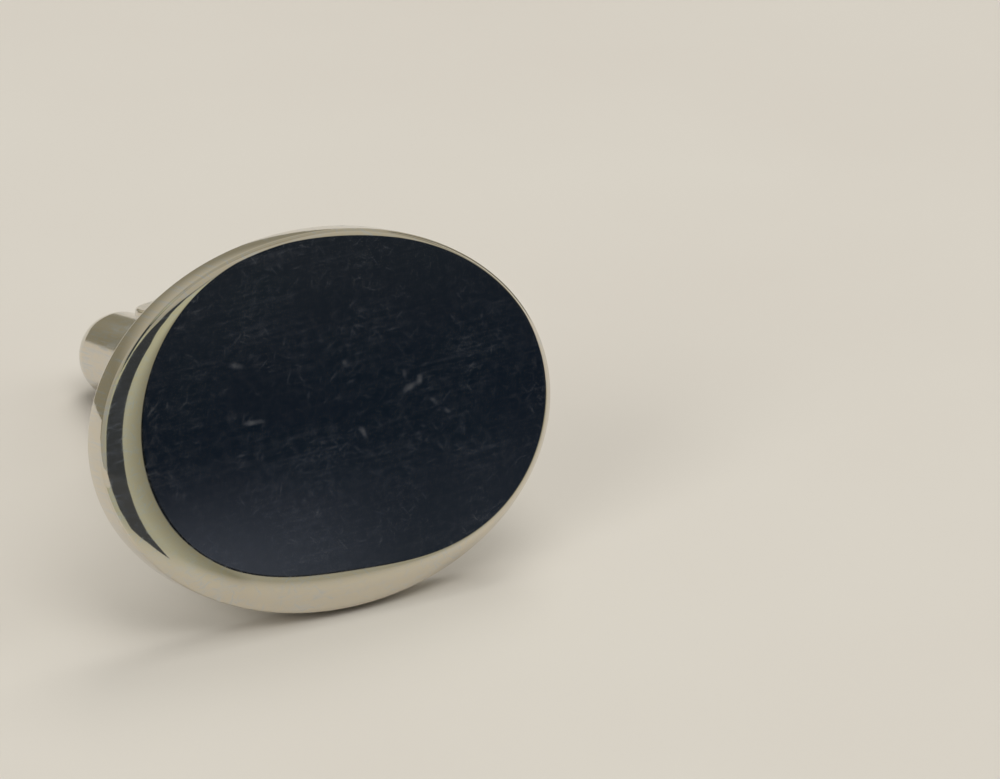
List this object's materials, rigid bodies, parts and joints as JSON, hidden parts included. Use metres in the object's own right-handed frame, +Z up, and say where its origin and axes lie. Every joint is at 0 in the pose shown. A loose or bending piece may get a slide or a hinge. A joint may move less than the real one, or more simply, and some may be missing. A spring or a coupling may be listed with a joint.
{
  "type": "cufflink",
  "caption": "Plain polished oval cufflink: a flat oval face on a two-armed post, with a torpedo toggle that swivels across to hold a shirt cuff closed.",
  "frame": {"origin": "on the table under the middle of the part's box, as the cufflink stands: on the long side of its rim, leaning back on the toggle's tip", "axes": "+X along the oval's long axis, +Y from the face towards the toggle's tip, +Z up; the face looks towards -Y and 14.5 degrees up"},
  "size_m": [0.018, 0.0242, 0.0138],
  "materials": {
    "face_silver": "mirror polished sterling silver with fine wear scratches",
    "fitting_silver": "polished sterling silver, slightly softer than the face",
    "washer_steel": "thin bowed spring steel"
  },
  "bodies": {
    "face_and_post": {"face_plate": "face_silver", "fork": "fitting_silver", "hinge_rivet": "fitting_silver", "upper_washer": "washer_steel", "lower_washer": "washer_steel"},
    "toggle": {"toggle_bar": "fitting_silver"}
  },
  "joints": [
    {"name": "toggle_swivel", "type": "hinge", "parent": "face_and_post", "child": "toggle", "pos_m": [0, 0.00412, 0.00339], "axis": [0, 0.2505, 0.9681], "range_deg": [-90, 90]}
  ]
}
